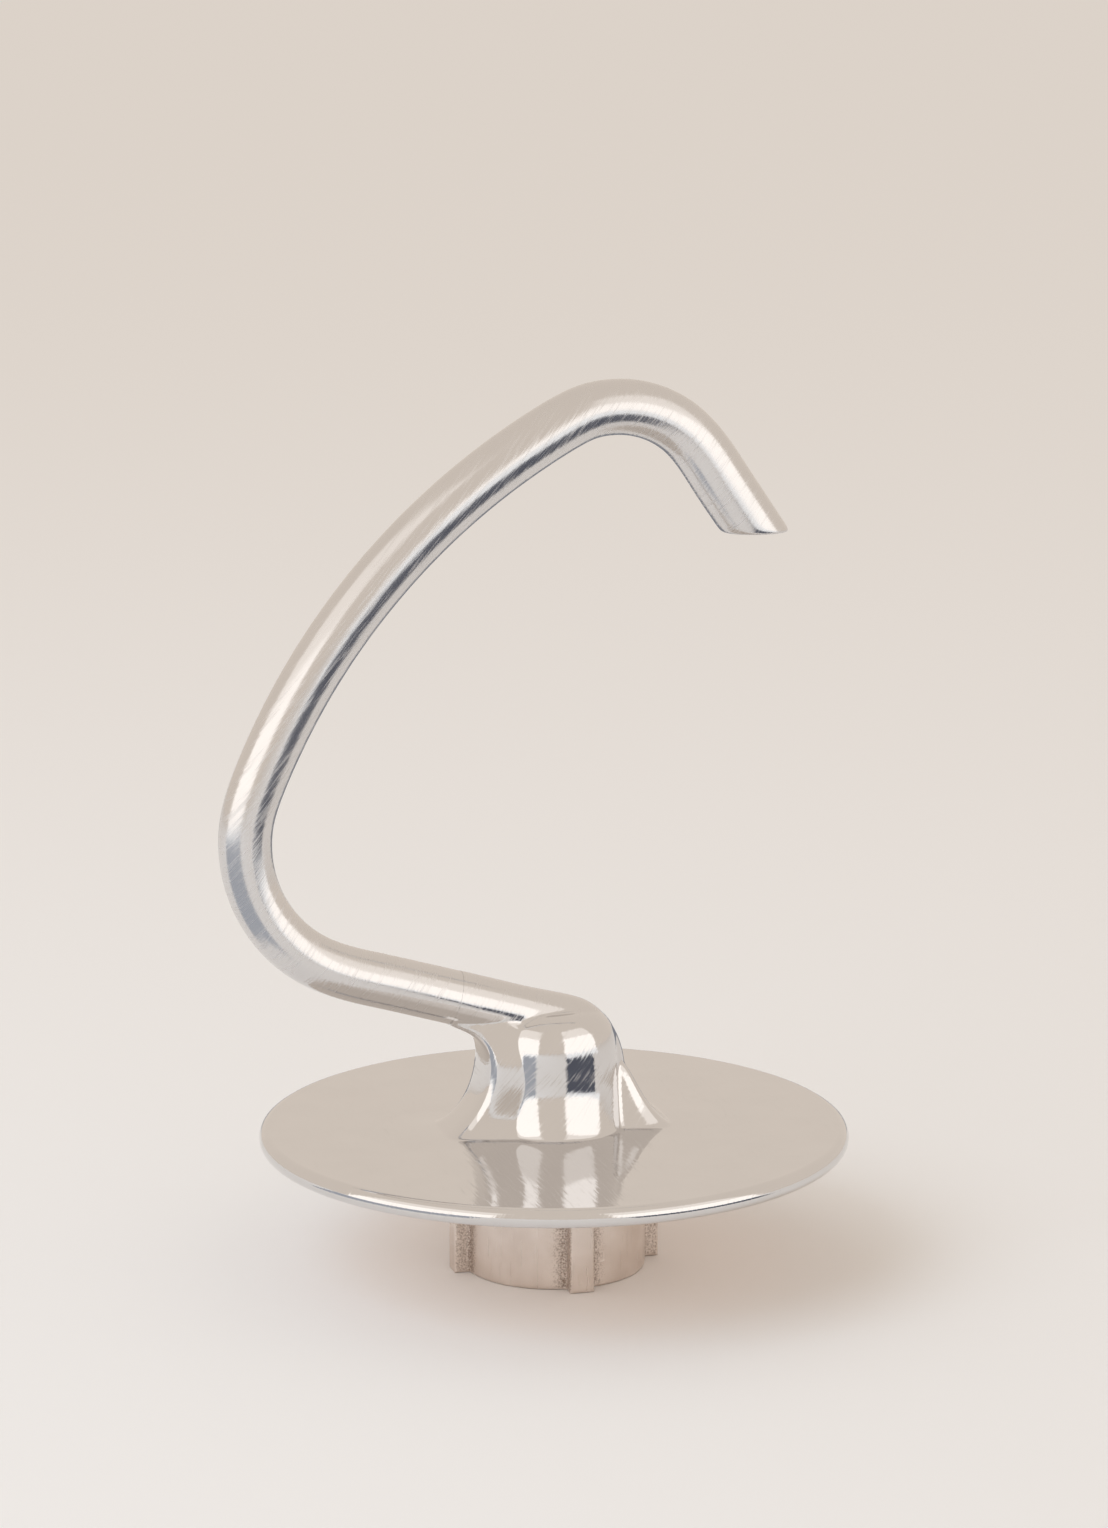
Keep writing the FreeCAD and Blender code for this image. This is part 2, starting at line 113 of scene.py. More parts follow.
# %% Helpers for shaping rings
TOUCHING = 0.001 * MM
CORNER_MATCH = 0.02
CAP_INSET = 0.3


def add(name, primitive, **settings):
    """Add a primitive with nothing else selected, and name it."""
    bpy.ops.object.select_all(action="DESELECT")
    primitive(**settings)
    made = bpy.context.object
    made.name = name
    made.data.name = name
    return made


def edit(piece):
    """Open a piece in edit mode with nothing selected."""
    bpy.ops.object.select_all(action="DESELECT")
    piece.select_set(True)
    bpy.context.view_layer.objects.active = piece
    bpy.ops.object.mode_set(mode="EDIT")
    bpy.ops.mesh.select_mode(type="VERT")
    bpy.ops.mesh.select_all(action="DESELECT")


def pick(piece, kind, wanted):
    """Select the vertices, edges or faces for which a test holds, and count them."""
    bpy.ops.mesh.select_mode(type={"verts": "VERT", "edges": "EDGE", "faces": "FACE"}[kind])
    bpy.ops.mesh.select_all(action="DESELECT")
    mesh = bmesh.from_edit_mesh(piece.data)
    chosen = [item for item in getattr(mesh, kind) if wanted(item)]
    for item in chosen:
        item.select_set(True)
    mesh.select_flush_mode()
    bmesh.update_edit_mesh(piece.data)
    return len(chosen)


def finish_piece(piece, angle=40):
    """Shade a piece smooth, but not over edges sharper than the angle, and say how big it is."""
    bpy.ops.object.select_all(action="DESELECT")
    piece.select_set(True)
    bpy.context.view_layer.objects.active = piece
    bpy.ops.object.shade_smooth_by_angle(angle=math.radians(angle))
    triangles = sum(len(face.vertices) - 2 for face in piece.data.polygons)
    print(piece.name, triangles, "triangles", [round(v / MM, 2) for v in piece.dimensions])


def apply_modifier(piece, kind, **settings):
    """Add a modifier with its settings and apply it at once."""
    bpy.context.view_layer.objects.active = piece
    modifier = piece.modifiers.new(kind.lower(), kind)
    for key, value in settings.items():
        setattr(modifier, key, value)
    bpy.ops.object.modifier_apply(modifier=modifier.name)


def ring_piece(name, rings, sides, levels, moved=()):
    """A closed tube through rings of (centre, tilt, half width in the X-Z plane, half depth in Y).

    Tilt is the angle of the ring's plane above the level, in degrees, so a level ring has a tilt of 0.
    Each row of moved takes one pair of corners of the unit ring, front and back, to another x and y.
    """
    centre, tilt, width, depth = rings[0]
    piece = add(name, bpy.ops.mesh.primitive_circle_add, vertices=sides, radius=1, fill_type="NOTHING")
    edit(piece)
    for old_x, new_x, new_y in moved:
        old_y = math.sqrt(1 - old_x * old_x)
        for side in (-1, 1):
            old = Vector((old_x, side * old_y, 0))
            pick(piece, "verts", lambda v: (v.co - old).length < CORNER_MATCH)
            bpy.ops.transform.translate(value=(new_x - old_x, side * (new_y - old_y), 0))
    bpy.ops.mesh.select_all(action="SELECT")
    bpy.ops.transform.resize(value=(width, depth, 1), center_override=(0, 0, 0))
    bpy.ops.transform.translate(value=centre)
    bpy.ops.transform.rotate(value=math.radians(tilt), orient_axis="Y", center_override=centre)
    bpy.ops.mesh.edge_face_add()
    bpy.ops.mesh.inset(thickness=min(width, depth) * CAP_INSET)
    pick(piece, "edges", lambda edge: edge.is_boundary)
    for new_centre, new_tilt, new_width, new_depth in rings[1:]:
        bpy.ops.mesh.extrude_region_move(TRANSFORM_OT_translate={"value": new_centre - centre})
        bpy.ops.transform.rotate(
            value=math.radians(-tilt), orient_axis="Y", center_override=new_centre
        )
        bpy.ops.transform.resize(
            value=(new_width / width, new_depth / depth, 1), center_override=new_centre
        )
        bpy.ops.transform.rotate(
            value=math.radians(new_tilt), orient_axis="Y", center_override=new_centre
        )
        centre, tilt, width, depth = new_centre, new_tilt, new_width, new_depth
    bpy.ops.mesh.edge_face_add()
    bpy.ops.mesh.inset(thickness=min(width, depth) * CAP_INSET)
    bpy.ops.mesh.select_all(action="SELECT")
    bpy.ops.mesh.normals_make_consistent(inside=False)
    bpy.ops.object.mode_set(mode="OBJECT")
    apply_modifier(piece, "SUBSURF", levels=levels, render_levels=levels)
    return piece


def cut_away(piece, point, normal, wanted=lambda face: True):
    """Cut chosen faces on a plane, throw away the side that the normal points to, and close the cut."""
    edit(piece)
    pick(piece, "faces", wanted)
    bpy.ops.mesh.bisect(
        plane_co=point, plane_no=normal, use_fill=True, clear_outer=True, threshold=TOUCHING
    )
    bpy.ops.object.mode_set(mode="OBJECT")


print("helpers ready")

# %% [markdown]
# ## The hook arm
# The arm is a round bar bent in one plane: a straight root, a tight heel, a long bow, a crest and a
# short straight tip whose face is cut level. It could be a curve with a round bevel, but the real bar
# is thinner in the heel, where bending stretched it, and thicker at the tip. So it is a ring of 16
# vertices, extruded station by station. The subdivided bar runs inside the corners of its cage, so
# each ring is first moved out by a sixth of the bend at that station, and the bar lands on the line.

# %% Walk along the arm's centreline
# Each bend is a radius in millimetres, a turn in degrees, and the number of rings that it takes.
BENDS = [(25.93, 95.01, 6), (127.24, 40.43, 8), (19.64, 83.56, 5)]
ROOT_REACHES = (6, 13, 20, 27, 34, 41.04)
TIP_RUN = 18.5 * MM
TIP_SHARES = (0.3, 0.62)


def arm_line():
    """Stations of (point, heading in degrees) from before the weld to beyond the tip's bend."""
    stations = [(root_point(reach * MM), ROOT_HEADING) for reach in ROOT_REACHES]
    point, degrees = stations[-1]
    for radius, turn, steps in BENDS:
        centre = point + heading(degrees - 90) * radius * MM
        for _ in range(steps):
            degrees -= turn / steps
            stations.append((centre + heading(degrees + 90) * radius * MM, degrees))
        point = stations[-1][0]
    for share in TIP_SHARES:
        stations.append((point + heading(degrees) * TIP_RUN * share, degrees))
    return stations, point + heading(degrees) * TIP_RUN


stations, tip_point = arm_line()
points = [point for point, _ in stations] + [tip_point]
cage = [points[0]]
for before, here, after in zip(points, points[1:], points[2:]):
    cage.append(here - (before - here * 2 + after) / 6)
print(len(cage), "rings, tip at", [round(v / MM, 2) for v in tip_point])

# %% [markdown]
# The bar's radius changes gently: 5.05 mm at the root, 4.83 mm in the heel, 5.1 mm along the bow,
# 5.2 mm at the crest and 5.4 mm near the tip. A ring of 16 corners is drawn larger by the share that
# subdividing takes off it. The last rings lie level, and draw in over a millimetre for the soft rim.

# %% Build the arm
RING_SIDES = 16
RING_SHRINK = (2 + math.cos(2 * math.pi / RING_SIDES)) / 3
# Each row is the number of a ring and the bar's radius there, in millimetres.
RADII = [
    (0, 5.05),
    (5, 5.0),
    (8, 4.83),
    (11, 4.95),
    (15, 5.07),
    (19, 5.1),
    (22, 5.2),
    (25, 5.4),
    (27, 5.36),
]
# Each row is a height above the tip's face, in millimetres, and a share of the bar's size there.
TIP_RIM = ((2.6, 1.0), (0.45, 1.0), (0.0, 0.93), (0.0, 0.8))
ARM_LEVELS = 3
ROOT_ZONE = 20 * MM


def bar_radius(index):
    """The bar's radius at a ring, between the listed ones."""
    for (low, low_radius), (high, high_radius) in zip(RADII, RADII[1:]):
        if index <= high:
            share = (index - low) / (high - low)
            return (low_radius + (high_radius - low_radius) * share) * MM / RING_SHRINK
    return RADII[-1][1] * MM / RING_SHRINK


arm_rings = []
for index, (centre, (_, degrees)) in enumerate(zip(cage, stations)):
    radius = bar_radius(index)
    arm_rings.append((centre, degrees - 90, radius, radius))
tip_tilt = stations[-1][1]
tip_radius = bar_radius(len(stations))
stretch = 1 / math.sin(math.radians(-tip_tilt))
for rise, share in TIP_RIM:
    lift = Vector((-rise * MM / math.tan(math.radians(-tip_tilt)), 0, rise * MM))
    centre = Vector((tip_point.x, 0, TIP_FACE)) + lift
    arm_rings.append((centre, -180, tip_radius * stretch * share, tip_radius * share))
hook_arm = ring_piece("polished_arm", arm_rings, RING_SIDES, ARM_LEVELS)
root_top = root_point(WELD_REACH).z + ROOT_ZONE
cut_away(
    hook_arm,
    root_point(WELD_REACH),
    -heading(ROOT_HEADING),
    lambda face: face.calc_center_median().z < root_top,
)
finish_piece(hook_arm)

# %% [markdown]
# ## The arm boss
# The boss is the cast elbow that holds the arm above the disc. It could be carved from one block, but it
# reads more easily as simple forms that have grown together: the bar, which runs on over the top and
# bends down on the right; an upright barrel that stands out at the front and back; a web that fills the
# corner under the arm; and a ramp that runs out over the disc on the right. Each is a column of rings.
# The web and the ramp are flatter at the front and back than a round column, so seven pairs of their
# ring's corners are moved. A thin plate with two low swells stands for the disc, so that the boss melts
# into it at the sides.

# %% Shape the boss
ELBOW = Vector((-0.9, 0, 37.2)) * MM
ELBOW_LINE = (ROOT_HEIGHT - ELBOW.x * math.tan(ROOT_RISE) - ELBOW.z) * math.cos(ROOT_RISE)
FORM_LEVELS = 2
LEG_X = 8.9
LEG_RADIUS = 5.1


def at(x, z):
    """A point of the X-Z plane, from millimetres."""
    return Vector((x, 0, z)) * MM


def column(name, rows, moved=()):
    """An upright form of the boss, from rows of (height, middle, half width, half depth)."""
    rings = [
        (at(middle, z), 0, width * MM / RING_SHRINK, depth * MM / RING_SHRINK)
        for z, middle, width, depth in rows
    ]
    return ring_piece(name, rings, RING_SIDES, FORM_LEVELS, moved)


elbow_rings = []
for reach, radius in ((30, 5.12), (24, 5.12), (18, 5.12), (12, 5.08), (6, 5.0), (1, 5.25)):
    radius *= MM / RING_SHRINK
    elbow_rings.append((root_point(reach * MM), ROOT_HEADING - 270, radius, radius))
for degrees, radius in ((-26, 5.6), (-40, 5.45), (-55, 5.2), (-72, 5.1), (-90, 5.1)):
    centre = ELBOW + heading(degrees + 90) * ELBOW_LINE
    radius *= MM / RING_SHRINK
    elbow_rings.append((centre, degrees - 90, radius, radius))
for z in (33.0, 29.0, 25.2):
    elbow_rings.append((at(LEG_X, z), -180, LEG_RADIUS * MM, LEG_RADIUS * MM))
elbow = ring_piece("boss_elbow", elbow_rings, RING_SIDES, FORM_LEVELS)

# Rows of (height, half width, half depth).
BARREL = [
    (25.2, 14.2, 14.8),
    (27.2, 13.1, 13.3),
    (29.2, 12.7, 12.5),
    (31.4, 12.5, 11.85),
    (33.6, 12.3, 11.35),
    (35.6, 12.1, 11.0),
    (38.4, 12.0, 10.88),
    (42.4, 11.8, 10.85),
    (45.6, 11.2, 10.3),
    (47.9, 9.4, 9.0),
    (49.2, 6.8, 6.8),
]
barrel = column("boss_barrel", [(z, 0, width, depth) for z, width, depth in BARREL])
# Rows of (height, left edge, half width, half depth).
WEB = [
    (25.2, -25.0, 11.0, 10.4),
    (27.2, -21.4, 9.6, 9.2),
    (29.0, -18.8, 8.4, 8.3),
    (31.4, -16.7, 7.6, 8.3),
    (34.4, -15.1, 7.4, 8.6),
    (37.6, -14.2, 7.4, 8.8),
    (40.8, -13.9, 7.4, 8.6),
    (43.2, -14.3, 7.0, 7.8),
    (45.2, -15.6, 6.6, 6.6),
    (46.6, -17.6, 6.4, 5.6),
    (47.8, -20.6, 6.6, 4.8),
    (49.6, -23.2, 6.8, 3.6),
]
# Rows of (corner's x on the unit ring, its new x, its new y).
FLAT_SIDES = [
    (-math.cos(math.pi / 8), -0.99, 0.6),
    (-math.cos(math.pi / 4), -0.86, 0.76),
    (-math.sin(math.pi / 8), -0.38, 0.86),
    (0, 0, 0.95),
    (math.sin(math.pi / 8), 0.38, 1.04),
    (math.cos(math.pi / 4), 0.86, 1.15),
    (math.cos(math.pi / 8), 0.99, 0.86),
]
web = column(
    "boss_web",
    [(z, left + width, width, depth) for z, left, width, depth in WEB],
    FLAT_SIDES,
)
# Rows of (height, right edge, half width, half depth).
RAMP = [
    (25.2, 24.2, 12.4, 9.4),
    (27.2, 20.6, 10.2, 7.7),
    (29.2, 18.3, 8.8, 6.6),
    (31.4, 16.7, 7.6, 5.8),
    (34.2, 15.1, 6.2, 5.0),
    (36.8, 13.9, 5.0, 4.2),
    (38.8, 12.6, 3.8, 3.4),
]
ramp = column(
    "boss_ramp",
    [(z, right - width, width, depth) for z, right, width, depth in RAMP],
    FLAT_SIDES,
)
print("elbow line", round(ELBOW_LINE / MM, 2), "mm from its centre")

# %% The plate that the boss grows out of
PLATE_RADIUS = 37 * MM
PLATE_DEPTH = 3 * MM
PLATE_CELLS = 74
NEAR_CENTRE = 0.6
# Rows of (x of the swell's top, height, spread), in millimetres.
SWELLS = ((-22, 0.2, 15), (21, 0.18, 14))
plate = add(
    "boss_plate",
    bpy.ops.mesh.primitive_grid_add,
    x_subdivisions=PLATE_CELLS,
    y_subdivisions=PLATE_CELLS,
    size=2 * PLATE_RADIUS,
    location=(0, 0, DISC_TOP),
)
bpy.ops.object.transform_apply(location=True)
edit(plate)
for centre_x, height, spread in SWELLS:
    pick(
        plate,
        "verts",
        lambda v: abs(v.co.x / MM - centre_x) < NEAR_CENTRE and abs(v.co.y / MM) < NEAR_CENTRE,
    )
    bpy.ops.transform.translate(
        value=(0, 0, height * MM),
        use_proportional_edit=True,
        proportional_edit_falloff="SMOOTH",
        proportional_size=spread * MM,
    )
bpy.ops.mesh.select_all(action="SELECT")
bpy.ops.mesh.extrude_region_move(TRANSFORM_OT_translate={"value": (0, 0, -PLATE_DEPTH)})
bpy.ops.mesh.select_all(action="SELECT")
bpy.ops.mesh.normals_make_consistent(inside=False)
bpy.ops.object.mode_set(mode="OBJECT")
print("plate rises to", round(max(v.co.z for v in plate.data.vertices) / MM, 2), "mm")

# %% [markdown]
# The five forms are joined, and a voxel remesh and a little smoothing turn the hard corners between them
# into the small fillets of a hand-polished casting. Two cuts then end the boss at the disc and at the
# weld. The lower cut is made a hundredth of a millimetre high and the boss is let down by as much, so
# that the swells run out to nothing instead of ending in a step. A cut this shallow leaves slivers, so
# close vertices are merged, loose bits are dropped, and faces with a free edge are deleted. The flat
# face at the weld is fanned from its middle, which gives it plain triangles.


# %% Grow the five together
def grown_together(name, parts, voxel, rounds):
    """Join closed forms, remesh them as one skin, and smooth it into fillets."""
    bpy.ops.object.select_all(action="DESELECT")
    for part in parts:
        part.select_set(True)
    bpy.context.view_layer.objects.active = parts[0]
    bpy.ops.object.join()
    whole = bpy.context.object
    whole.name = whole.data.name = name
    apply_modifier(whole, "REMESH", mode="VOXEL", voxel_size=voxel, adaptivity=0, use_smooth_shade=True)
    apply_modifier(whole, "SMOOTH", factor=0.5, iterations=rounds)
    return whole


BOSS_VOXEL = 0.3 * MM
BOSS_ROUNDS = 14
SLIVER = BOSS_VOXEL / 5
FEATHER = 0.01 * MM
SWELL_ZONE = 10 * MM
CAP_CORNERS = RING_SIDES * 4
boss = grown_together("polished_boss", [elbow, barrel, web, ramp, plate], BOSS_VOXEL, BOSS_ROUNDS)
cut_away(boss, (0, 0, DISC_TOP + FEATHER), (0, 0, -1))
cut_away(
    boss,
    root_point(WELD_REACH),
    heading(ROOT_HEADING),
    lambda face: face.calc_center_median().z > DISC_TOP + SWELL_ZONE,
)
edit(boss)
bpy.ops.mesh.select_all(action="SELECT")
bpy.ops.mesh.remove_doubles(threshold=SLIVER)
crown = max(vertex.co.z for vertex in bmesh.from_edit_mesh(boss.data).verts)
pick(boss, "verts", lambda v: v.co.z == crown)
bpy.ops.mesh.select_linked()
bpy.ops.mesh.select_all(action="INVERT")
bpy.ops.mesh.delete(type="VERT")
pick(boss, "faces", lambda face: any(edge.is_boundary for edge in face.edges))
bpy.ops.mesh.delete(type="FACE")
pick(boss, "faces", lambda face: len(face.verts) > CAP_CORNERS and face.normal.z > 0)
bpy.ops.mesh.poke()
bpy.ops.mesh.select_all(action="SELECT")
bpy.ops.transform.translate(value=(0, 0, -FEATHER))
open_edges = pick(boss, "edges", lambda edge: not edge.is_manifold)
bpy.ops.object.mode_set(mode="OBJECT")
print(open_edges, "open edges")
finish_piece(boss)

# %% [markdown]
# ## The guard disc
# The disc is a flat plate with a fully round rim. A cylinder with a bevel would do, but a section that is
# spun about the drive axis gives the rim as many rows as it needs. Three extra rows close to the rim
# keep the flat top flat: without them its shading would lean towards the rim all the way in.

# %% Spin the disc
DISC_BORE = 8.6 * MM
RIM_STEPS = 14
SPIN_STEPS = 288
FLAT_ROWS = (1.2, 0.3, 0.05)
rim_radius = (DISC_TOP - DISC_LOW) / 2
rim_centre = Vector((DISC_RADIUS - rim_radius, 0, DISC_LOW + rim_radius))
section = [Vector((DISC_BORE, 0, DISC_TOP))]
section += [Vector((rim_centre.x - gap * MM, 0, DISC_TOP)) for gap in FLAT_ROWS]
for step in range(RIM_STEPS + 1):
    section.append(rim_centre + heading(90 - 180 * step / RIM_STEPS) * rim_radius)
section += [Vector((rim_centre.x - gap * MM, 0, DISC_LOW)) for gap in reversed(FLAT_ROWS)]
section.append(Vector((DISC_BORE, 0, DISC_LOW)))


def traced(name, corners):
    """A row of edges through points, left open in edit mode."""
    piece = add(name, bpy.ops.mesh.primitive_plane_add, size=MM)
    edit(piece)
    bpy.ops.mesh.select_all(action="SELECT")
    bpy.ops.mesh.merge(type="CENTER")
    bpy.ops.transform.translate(value=corners[0])
    for before, after in zip(corners, corners[1:]):
        bpy.ops.mesh.extrude_region_move(TRANSFORM_OT_translate={"value": after - before})
    return piece


def spun(name, corners, steps):
    """A closed ring whose section goes round a row of points of the X-Z plane, spun about Z."""
    piece = traced(name, corners + corners[:1])
    bpy.ops.mesh.select_all(action="SELECT")
    bpy.ops.mesh.remove_doubles(threshold=TOUCHING)
    bpy.ops.mesh.select_all(action="SELECT")
    bpy.ops.mesh.spin(steps=steps, angle=math.tau, center=(0, 0, 0), axis=(0, 0, 1))
    bpy.ops.mesh.select_all(action="SELECT")
    bpy.ops.mesh.remove_doubles(threshold=TOUCHING)
    bpy.ops.mesh.normals_make_consistent(inside=False)
    bpy.ops.object.mode_set(mode="OBJECT")
    return piece


disc = spun("mirror_disc", section, SPIN_STEPS)
finish_piece(disc, 30)

# %% [markdown]
# ## The coupling hub
# The hub is a casting: a barrel with four ribs, hollow below. Its high faces have been ground on a belt,
# and the corners beside the ribs, where the belt couldn't reach, still have the grain of the mould.
# Beveling every corner by hand would take as many steps as there are corners. A voxel remesh of the plain
# barrel and ribs gives all of them a cast radius at once, and its even, fine mesh can carry the grain.

# %% Cast the hub
HUB_RADIUS = 17.1 * MM
HUB_HOLLOW = 13.9 * MM
WEB_LOW = DISC_LOW - 4.0 * MM
RIB_REACH = 2.7 * MM
RIB_WIDTH = 4.5 * MM
RIB_ROOT = 2 * MM
OVERRUN = 1.5 * MM
HUB_STEPS = 192
HUB_VOXEL = 0.33 * MM
HUB_ROUNDS = 6
hub_section = [
    Vector((HUB_HOLLOW, 0, 0)),
    Vector((HUB_RADIUS, 0, 0)),
    Vector((HUB_RADIUS, 0, DISC_LOW + OVERRUN)),
    Vector((DISC_BORE, 0, DISC_LOW + OVERRUN)),
    Vector((DISC_BORE, 0, WEB_LOW)),
    Vector((HUB_HOLLOW, 0, WEB_LOW)),
]
hub_parts = [spun("hub_barrel", hub_section, HUB_STEPS)]
# A rib's block is nearly square (4.7 by 4.5 mm), and all four stand the same way round.
for quarter in range(4):
    out = heading(90 * quarter)
    middle = Vector((out.x, out.z, 0)) * (HUB_RADIUS + RIB_REACH / 2 - RIB_ROOT / 2)
    rib = add(
        "rib",
        bpy.ops.mesh.primitive_cube_add,
        size=1,
        location=(middle.x, middle.y, (DISC_LOW + OVERRUN) / 2),
        scale=(RIB_REACH + RIB_ROOT, RIB_WIDTH, DISC_LOW + OVERRUN),
    )
    bpy.ops.object.transform_apply(location=True, scale=True)
    hub_parts.append(rib)
print(len(hub_parts), "parts in the hub")
hub = grown_together("cast_hub", hub_parts, HUB_VOXEL, HUB_ROUNDS)
cut_away(hub, (0, 0, DISC_LOW), (0, 0, 1))
lowest_hub = min(v.co.z for v in hub.data.vertices)
print("hub's rim after smoothing is at", round(lowest_hub / MM, 3), "mm")

# %% [markdown]
# The grain is real relief. Each point of the hub gets a number, from 0 on the ground faces to 1 in the
# corners beside a rib and inside the hollow, and a Displace modifier pushes the skin in by a fine cloud
# pattern times that number. The same number stays on the mesh as an attribute for the material to read.
# The lowest half millimetre stays smooth, so that the hub stands on a level rim.

# %% Give the hub its cast grain
BAND = 5.2 * MM
RIM_LAND = 0.5 * MM
HOLLOW_GRAIN = 0.7
RIB_SIDE_GRAIN = 0.75
GRAIN_SIZE = 0.3 * MM
GRAIN_DEPTH = 0.2 * MM


def grain_at(place):
    """How much mould grain is left at a point of the hub, from 0 to 1."""
    radius = math.hypot(place.x, place.y)
    if place.z < RIM_LAND:
        return 0.0
    if radius < HUB_HOLLOW + 0.8 * MM:
        return HOLLOW_GRAIN
    across = min(abs(place.x), abs(place.y))
    beside = across - RIB_WIDTH / 2
    if radius > HUB_RADIUS + 0.35 * MM:
        on_side = min(max((beside + 0.45 * MM) / (0.35 * MM), 0), 1)
        return RIB_SIDE_GRAIN * on_side
    return min(max(1 - beside / BAND, 0), 1) ** 0.8


amounts = [grain_at(vertex.co) for vertex in hub.data.vertices]
group = hub.vertex_groups.new(name="grain_depth")
for index, amount in enumerate(amounts):
    group.add([index], amount, "REPLACE")
hub.data.attributes.new("grain", "FLOAT", "POINT")
hub.data.attributes["grain"].data.foreach_set("value", amounts)
clouds = bpy.data.textures.new("mould_grain", "CLOUDS")
clouds.noise_scale = GRAIN_SIZE
clouds.noise_depth = 3
clouds.contrast = 1.8
clouds.intensity = 0.8
apply_modifier(
    hub,
    "DISPLACE",
    texture=clouds,
    texture_coords="LOCAL",
    strength=GRAIN_DEPTH,
    mid_level=0.8,
    vertex_group="grain_depth",
)
finish_piece(hub, 60)

# %% [markdown]
# ## Finishes
# A material starts from what it is and how its surface was made. One helper adds a shader node with its
# settings, numbers and links, and one turns the hex colours of a paint chart into the linear numbers
# that light is worked out in. All patterns use Object coordinates, so their scale is in real metres.

# %% Helpers for materials
def linear(code):
    """An sRGB hex colour as linear RGBA."""
    parts = [int(code[i : i + 2], 16) / 255 for i in (1, 3, 5)]
    return tuple(((p + 0.055) / 1.055) ** 2.4 if p > 0.04045 else p / 12.92 for p in parts) + (1,)


def node(tree, kind, settings=None, inputs=None):
    """Add a shader node. An input is a number, a colour, or the socket that feeds it."""
    made = tree.nodes.new(kind)
    for key, value in (settings or {}).items():
        setattr(made, key, value)
    for key, value in (inputs or {}).items():
        if isinstance(value, bpy.types.NodeSocket):
            tree.links.new(value, made.inputs[key])
        else:
            made.inputs[key].default_value = value
    return made


def new_material(name):
    """A material with a Principled shader, its tree and its Object coordinates."""
    material = bpy.data.materials.new(name)
    material.use_nodes = True
    tree = material.node_tree
    tree.nodes.clear()
    shader = node(tree, "ShaderNodeBsdfPrincipled")
    node(tree, "ShaderNodeOutputMaterial", inputs={"Surface": shader.outputs["BSDF"]})
    place = node(tree, "ShaderNodeTexCoord").outputs["Object"]
    return material, tree, shader, place


print("linear #808080 is", [round(v, 3) for v in linear("#808080")])

# %% [markdown]
# Polished stainless steel, from felt mops: a mirror with a faint warm tint. Close up it has fine
# hairlines from the mop, all leaning one way, and a slight unevenness from the hand that held it.
# Real hairlines are about 0.02 mm wide. Here they are about 0.3 mm, as fine as a render can still show.
# The mop did less work further up the arm, so the finish gets duller from the heel upwards.

# %% Polished stainless steel
HAIRLINE = 0.34 * MM
HAIRLINE_LENGTH = 6 * MM
UNEVENNESS = 9 * MM
DULL_FROM = 44 * MM
DULL_TO = 62 * MM
steel, tree, shader, place = new_material("polished_stainless_steel")
leaning = node(
    tree,
    "ShaderNodeMapping",
    {"vector_type": "TEXTURE"},
    {
        "Vector": place,
        "Rotation": (0, math.radians(-50), 0),
        "Scale": (HAIRLINE_LENGTH, HAIRLINE_LENGTH, HAIRLINE),
    },
)
hairlines = node(
    tree,
    "ShaderNodeTexNoise",
    inputs={"Vector": leaning.outputs["Vector"], "Scale": 1.0, "Detail": 3.0},
)
patches = node(
    tree,
    "ShaderNodeTexNoise",
    inputs={"Vector": place, "Scale": 1 / UNEVENNESS, "Detail": 2.0},
)
worn = node(
    tree,
    "ShaderNodeMapRange",
    inputs={
        "Value": patches.outputs["Fac"],
        "From Min": 0.4,
        "From Max": 0.75,
        "To Min": 0.015,
        "To Max": 0.06,
    },
)
scratched = node(
    tree,
    "ShaderNodeMapRange",
    inputs={
        "Value": hairlines.outputs["Fac"],
        "From Min": 0.48,
        "From Max": 0.7,
        "To Min": 0.0,
        "To Max": 0.2,
    },
)
height = node(tree, "ShaderNodeSeparateXYZ", inputs={"Vector": place}).outputs["Z"]
duller = node(
    tree,
    "ShaderNodeMapRange",
    inputs={
        "Value": height,
        "From Min": DULL_FROM,
        "From Max": DULL_TO,
        "To Min": 0.0,
        "To Max": 0.15,
    },
)
mopped = node(
    tree,
    "ShaderNodeMath",
    {"operation": "ADD"},
    {0: worn.outputs["Result"], 1: duller.outputs["Result"]},
)
roughness = node(
    tree,
    "ShaderNodeMath",
    {"operation": "ADD"},
    {0: mopped.outputs["Value"], 1: scratched.outputs["Result"]},
)
tint = node(
    tree,
    "ShaderNodeMix",
    {"data_type": "RGBA"},
    {"Factor": patches.outputs["Fac"], "A": linear("#E0DFDF"), "B": linear("#DBDADA")},
)
fine = node(
    tree,
    "ShaderNodeBump",
    inputs={"Height": hairlines.outputs["Fac"], "Strength": 0.7, "Distance": 0.02 * MM},
)
wavy = node(
    tree,
    "ShaderNodeBump",
    inputs={
        "Height": patches.outputs["Fac"],
        "Strength": 0.5,
        "Distance": 0.05 * MM,
        "Normal": fine.outputs["Normal"],
    },
)
shader.inputs["Metallic"].default_value = 1.0
tree.links.new(tint.outputs["Result"], shader.inputs["Base Color"])
tree.links.new(roughness.outputs["Value"], shader.inputs["Roughness"])
tree.links.new(wavy.outputs["Normal"], shader.inputs["Normal"])
print(steel.name, len(tree.nodes), "nodes")

# %% [markdown]
# Belt-ground cast steel: the hub's high faces have an even satin of upright strokes, warmer and duller
# than the mirror above. Where the grain is left, the metal is darker and rough, and black in the pits.

